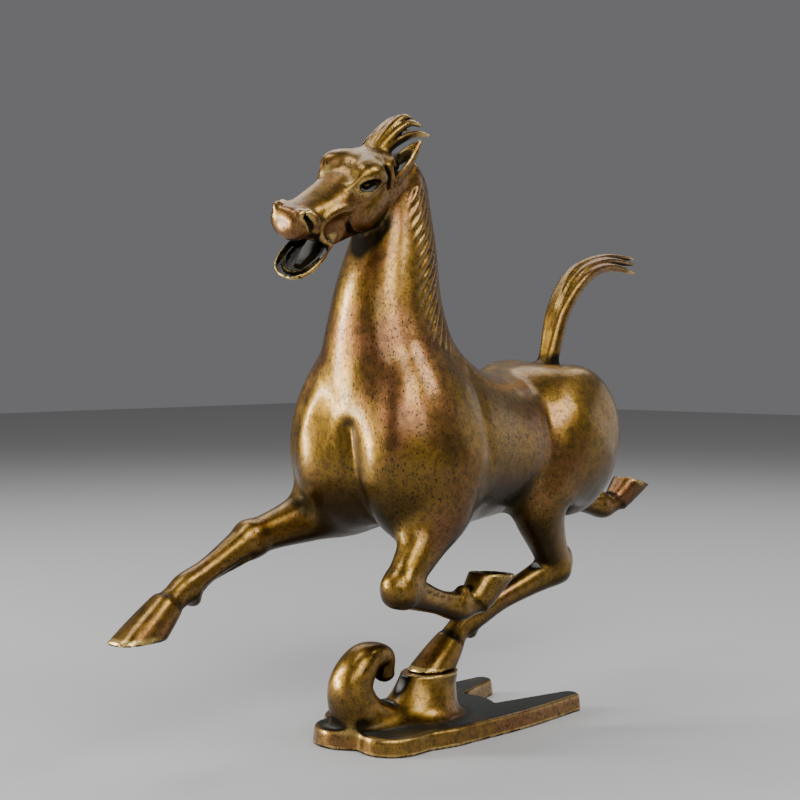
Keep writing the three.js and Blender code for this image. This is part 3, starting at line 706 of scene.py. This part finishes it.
def antique_brass(name, brass, tint, bright, shelf_below=None):
    """Cast brass under a worn patina: clouds of the tint over the brass with a fine dark mottle, rubbed
    bright on the edges and pitted with small dark specks. Patina and painted shade make the hollows near
    black, and painted shade makes the undersides near black. Grey dust lies where a deep hollow faces up,
    as in the open mouth, and a thin coat of wax covers the metal, thinner on specks and painted shade.
    Flat tops below a height keep a dull grey-green. Each layer's share is a smooth step of a noise or of
    a finish measure, and where two must agree they are multiplied."""
    material = bpy.data.materials.new(name)
    material.use_nodes = True
    nodes, links = material.node_tree.nodes, material.node_tree.links
    shader = nodes["Principled BSDF"]
    shader.inputs["Coat Roughness"].default_value = 0.18
    shader.inputs["Coat IOR"].default_value = 1.6
    place = nodes.new("ShaderNodeTexCoord").outputs["Object"]

    def noise(scale, detail=2.0, roughness=0.5):
        """A cloudy pattern on the object's own coordinates."""
        node = nodes.new("ShaderNodeTexNoise")
        node.inputs["Scale"].default_value = scale
        node.inputs["Detail"].default_value = detail
        node.inputs["Roughness"].default_value = roughness
        links.new(place, node.inputs["Vector"])
        return node.outputs["Fac"]

    def ramp(source, low, high, to_low=0.0, to_high=1.0):
        """A smooth step from one value to another as the source goes from low to high."""
        node = nodes.new("ShaderNodeMapRange")
        node.interpolation_type = "SMOOTHSTEP"
        links.new(source, node.inputs["Value"])
        for key, value in (("From Min", low), ("From Max", high), ("To Min", to_low), ("To Max", to_high)):
            node.inputs[key].default_value = value
        return node.outputs["Result"]

    def mixed(share, first, second):
        """The first colour where the share is 0, running to the second where it is 1."""
        node = nodes.new("ShaderNodeMix")
        node.data_type = "RGBA"
        links.new(share, node.inputs["Factor"])
        for key, value in (("A", first), ("B", second)):
            socket = next(s for s in node.inputs if s.name == key and s.type == "RGBA")
            if isinstance(value, tuple):
                socket.default_value = (*value, 1)
            else:
                links.new(value, socket)
        return next(s for s in node.outputs if s.type == "RGBA")

    def maths(operation, first, second):
        """One sum of two sources or numbers, kept between 0 and 1."""
        node = nodes.new("ShaderNodeMath")
        node.operation = operation
        node.use_clamp = True
        for socket, value in zip(node.inputs, (first, second)):
            if isinstance(value, float):
                socket.default_value = value
            else:
                links.new(value, socket)
        return node.outputs["Value"]

    def measure(key):
        """A finish measure that the mesh carries at each vertex."""
        node = nodes.new("ShaderNodeAttribute")
        node.attribute_name = key
        return node.outputs["Fac"]

    def pits(scale, share, patches):
        """Ragged specks of uneven size: cells of a stretched, crumpled pattern, of which the given share
        is pitted, and more of them where a slow noise is high."""
        crumple = nodes.new("ShaderNodeTexNoise")
        crumple.inputs["Scale"].default_value = 1400
        links.new(place, crumple.inputs["Vector"])
        strength = nodes.new("ShaderNodeVectorMath")
        strength.operation = "SCALE"
        strength.inputs["Scale"].default_value = 0.0012
        links.new(crumple.outputs["Color"], strength.inputs[0])
        shifted = nodes.new("ShaderNodeVectorMath")
        links.new(place, shifted.inputs[0])
        links.new(strength.outputs["Vector"], shifted.inputs[1])
        stretch = nodes.new("ShaderNodeMapping")
        stretch.inputs["Rotation"].default_value = (0.3, 0.6, 0)
        stretch.inputs["Scale"].default_value = (1, 1, 0.55)
        links.new(shifted.outputs["Vector"], stretch.inputs["Vector"])
        cells = nodes.new("ShaderNodeTexVoronoi")
        cells.inputs["Scale"].default_value = scale
        links.new(stretch.outputs["Vector"], cells.inputs["Vector"])
        chance = nodes.new("ShaderNodeSeparateColor")
        links.new(cells.outputs["Color"], chance.inputs["Color"])
        picked = ramp(chance.outputs["Red"], share, share - 0.1)
        small = maths("MULTIPLY", ramp(cells.outputs["Distance"], 0.42, 0.2), picked)
        return maths("MULTIPLY", small, ramp(patches, 0.34, 0.56, 0.35, 1.0))

    hollow, edge, rise = measure("hollow"), measure("edge"), measure("rise")
    split = nodes.new("ShaderNodeSeparateXYZ")
    links.new(place, split.inputs["Vector"])
    height = split.outputs["Z"]

    colour = mixed(ramp(noise(20, 4, 0.6), 0.44, 0.64), brass, tint)
    mottle = ramp(noise(330, 4, 0.75), 0.4, 0.66, 0, 0.7)
    colour = mixed(mottle, colour, tuple(0.3 * c for c in brass))
    rubbed = maths("MULTIPLY", ramp(edge, 0.12, 0.45), ramp(noise(90, 3), 0.3, 0.58))
    colour = mixed(rubbed, colour, bright)
    speckled = maths("MAXIMUM", pits(900, 0.5, noise(24, 2)), pits(1600, 0.6, noise(34, 2)))
    speckled = maths("MULTIPLY", speckled, 0.85)
    colour = mixed(speckled, colour, DARK_PATINA_AND_SHADE)
    # Dark patina with painted shade: where probes from the skin soon meet metal, the colour goes near black.
    hollow_patina_and_shade = maths("MULTIPLY", ramp(hollow, 0.08, 0.36), ramp(noise(120, 4), 0.2, 0.5, 0.75, 1.0))
    # Painted shade: skin that faces down goes near black, less so high up.
    painted_underside_shade = maths("MULTIPLY", ramp(rise, 0.35, -0.55, 0.0, 0.93), ramp(height, 0.15, 0.2, 1.0, 0.4))
    patina_and_painted_shade = maths("MAXIMUM", hollow_patina_and_shade, painted_underside_shade)
    # Patina and painted shade in the hollows and underneath, together near black.
    colour = mixed(patina_and_painted_shade, colour, DARK_PATINA_AND_SHADE)
    dusty = maths("MULTIPLY", ramp(hollow, 0.38, 0.54, 0.0, 0.9), ramp(rise, 0.37, 0.46))
    colour = mixed(dusty, colour, DUST)
    links.new(maths("SUBTRACT", 1.0, dusty), shader.inputs["Metallic"])
    rough = ramp(noise(150, 3), 0.3, 0.7, 0.27, 0.38)
    rough = maths("ADD", rough, maths("MULTIPLY", hollow_patina_and_shade, 0.3))
    if shelf_below:
        low_down = ramp(height, shelf_below + 0.002, shelf_below)
        shelf = maths("MULTIPLY", low_down, ramp(rise, 0.86, 0.97))
        shelf = maths("MULTIPLY", shelf, ramp(noise(60, 4), 0.25, 0.5, 0.6, 1.0))
        colour = mixed(shelf, colour, SHELF_PATINA)
        rough = maths("ADD", rough, maths("MULTIPLY", shelf, 0.25))
    # The coat is thinner on the specks and where the hollows and undersides are painted dark.
    waxed = maths("SUBTRACT", 1.0, maths("MAXIMUM", patina_and_painted_shade, maths("MULTIPLY", speckled, 0.5)))
    links.new(maths("MULTIPLY", waxed, 0.5), shader.inputs["Coat Weight"])
    links.new(colour, shader.inputs["Base Color"])
    links.new(rough, shader.inputs["Roughness"])

    bump = nodes.new("ShaderNodeBump")
    bump.inputs["Strength"].default_value = 0.22
    bump.inputs["Distance"].default_value = 0.0004
    links.new(maths("SUBTRACT", noise(420, 3), maths("MULTIPLY", speckled, 0.7)), bump.inputs["Height"])
    links.new(bump.outputs["Normal"], shader.inputs["Normal"])
    return material


OLIVE_BRASS = (0.38, 0.205, 0.022)
RED_BROWN = (0.34, 0.140, 0.045)
RUBBED_BRASS = (0.85, 0.58, 0.18)
# Near black: the specks, and the patina and painted shade in hollows and underneath.
DARK_PATINA_AND_SHADE = (0.014, 0.010, 0.005)
DUST = (0.15, 0.145, 0.13)
SHELF_PATINA = (0.05, 0.052, 0.04)
horse.data.materials.append(antique_brass("horse_brass", OLIVE_BRASS, RED_BROWN, RUBBED_BRASS))
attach(horse, "root")
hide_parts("horse")

# The cloud base
# A small cast plate in the form of a drifting cloud: a scroll that curls up in front, a pedestal for
# the hoof and two streamers to the rear. Same brass, duller on its flat top. Lengths in
# millimetres, from the middle of its underside.
PLATE_TOP = 8
PEDESTAL_TOP = 26.7
STREAMER = 13  # half the breadth of a streamer at its root


def cloud_wax(p):
    """The plate is its outline in plan drawn up to an even height, with a rounded rim; the scroll and
    the pedestal rise from it in wide fillets."""
    plan = p * [1, 1, 0] + [0, 0, 4]
    outline = lump(plan, [-16, 0, 4], [42, 30, 30])
    lobes = (
        ([-44, -12, 4], [16, 14, 14]),
        ([-32, 22, 4], [16, 13, 13]),
        ([-52, 10, 4], [12, 14, 14]),
    )
    for centre, radii in lobes:
        outline = joined(outline, lump(plan, centre, radii), 3)
    taper = [[0, STREAMER, STREAMER], [0.5, 0.8 * STREAMER, STREAMER], [1, 0.4 * STREAMER, 6]]
    for path in (
        [[-20, -17, 4], [16, -23, 4], [57, -28, 4]],
        [[-10, 13, 4], [20, 17, 4], [52, 20, 4]],
    ):
        outline = joined(outline, rod(plan, path, taper), 2)
    draft = outline + 0.1 * (p[:, 2] - 4)
    plate = -joined(-draft, PLATE_TOP - p[:, 2], 2.2)
    plate = -joined(-plate, p[:, 2], 0.6)
    waist = [[0, 25, 24], [0.3, 16, 18], [0.7, 11.5, 14], [1, 11, 13.5]]
    wax = joined(plate, rod(p, [[-18, -2, 2], [-13, -5, 31]], waist), 6)
    curl = rod(
        p,
        [[-40, 4, 3], [-50, 5, 14], [-54, 4, 26], [-48, 2, 36], [-39, 1, 36], [-37, 1, 29]],
        [[0, 14, 14], [0.3, 11, 10], [0.65, 8.5, 7], [1, 4.5, 4]],
        squareness=2.4,
    )
    wax = joined(wax, curl, 5)
    wax = -joined(-wax, PEDESTAL_TOP - p[:, 2] + 30 * (p[:, 0] < -33), 0.8)
    return -joined(-wax, p[:, 2], 0.6)


cloud = cast_piece(
    "cloud_casting",
    cloud_wax,
    (ruled([-68, 68, 0.9]), ruled([-40, 40, 0.9]), ruled([-4, 46, 0.8])),
    np.zeros(3),
)
cloud.data.materials.append(
    antique_brass("cloud_brass", OLIVE_BRASS, RED_BROWN, RUBBED_BRASS, shelf_below=0.009)
)
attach(cloud, "root")
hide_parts("cloud_base")

# The floor and the studio
# A plain pale floor under a grey sky. Soft oblong windows of light about a metre away draw the bands on
# the polished metal: narrow ones to the left of the camera, wide ones behind it, one high on the right,
# one behind the horse, and a faint pale wall on the right.
FLOOR_HALF = 3
floor_mesh = bpy.data.meshes.new("floor")
floor_corners = [(x * FLOOR_HALF, y * FLOOR_HALF, 0) for x, y in ((-1, -1), (1, -1), (1, 1), (-1, 1))]
floor_mesh.from_pydata(floor_corners, [], [(0, 1, 2, 3)])
floor = bpy.data.objects.new("floor", floor_mesh)
bpy.context.scene.collection.objects.link(floor)
floor_paint = bpy.data.materials.new("floor_paint")
floor_paint.use_nodes = True
floor_shader = floor_paint.node_tree.nodes["Principled BSDF"]
floor_shader.inputs["Base Color"].default_value = (0.6, 0.595, 0.59, 1)
floor_shader.inputs["Roughness"].default_value = 0.8
floor_mesh.materials.append(floor_paint)

world = bpy.data.worlds.new("studio")
world.use_nodes = True
world.node_tree.nodes["Background"].inputs["Color"].default_value = (0.5, 0.5, 0.52, 1)
world.node_tree.nodes["Background"].inputs["Strength"].default_value = 0.3
bpy.context.scene.world = world

LIGHTS_AIM = Vector((0, 0, 0.13))
LIGHTS = [  # name, place, width and height, watts
    ("left_window", (-0.67, 0.81, 0.42), (0.13, 0.45), 6),
    ("low_left_window", (-0.80, 0.68, 0.13), (0.18, 0.22), 4),
    ("upper_left_window", (-0.37, 0.36, 1.10), (0.4, 0.4), 2),
    ("front_window", (-0.75, -0.81, 0.58), (1.5, 0.4), 4.5),
    ("high_front_window", (-0.54, -0.74, 0.87), (0.6, 0.4), 4.5),
    ("high_right_window", (0.21, -0.77, 0.90), (0.5, 0.45), 4.2),
    ("back_window", (0.54, 0.46, 0.99), (1.4, 0.6), 4.5),
    ("right_wall", (1.04, -0.37, 0.22), (1.0, 0.6), 1),
]
for name, place, size, power in LIGHTS:
    light = bpy.data.lights.new(name, "AREA")
    light.shape = "RECTANGLE"
    light.size, light.size_y = size
    light.energy = power
    lamp = bpy.data.objects.new(name, light)
    lamp.location = place
    lamp.rotation_euler = (LIGHTS_AIM - Vector(place)).to_track_quat("-Z", "Y").to_euler()
    bpy.context.scene.collection.objects.link(lamp)
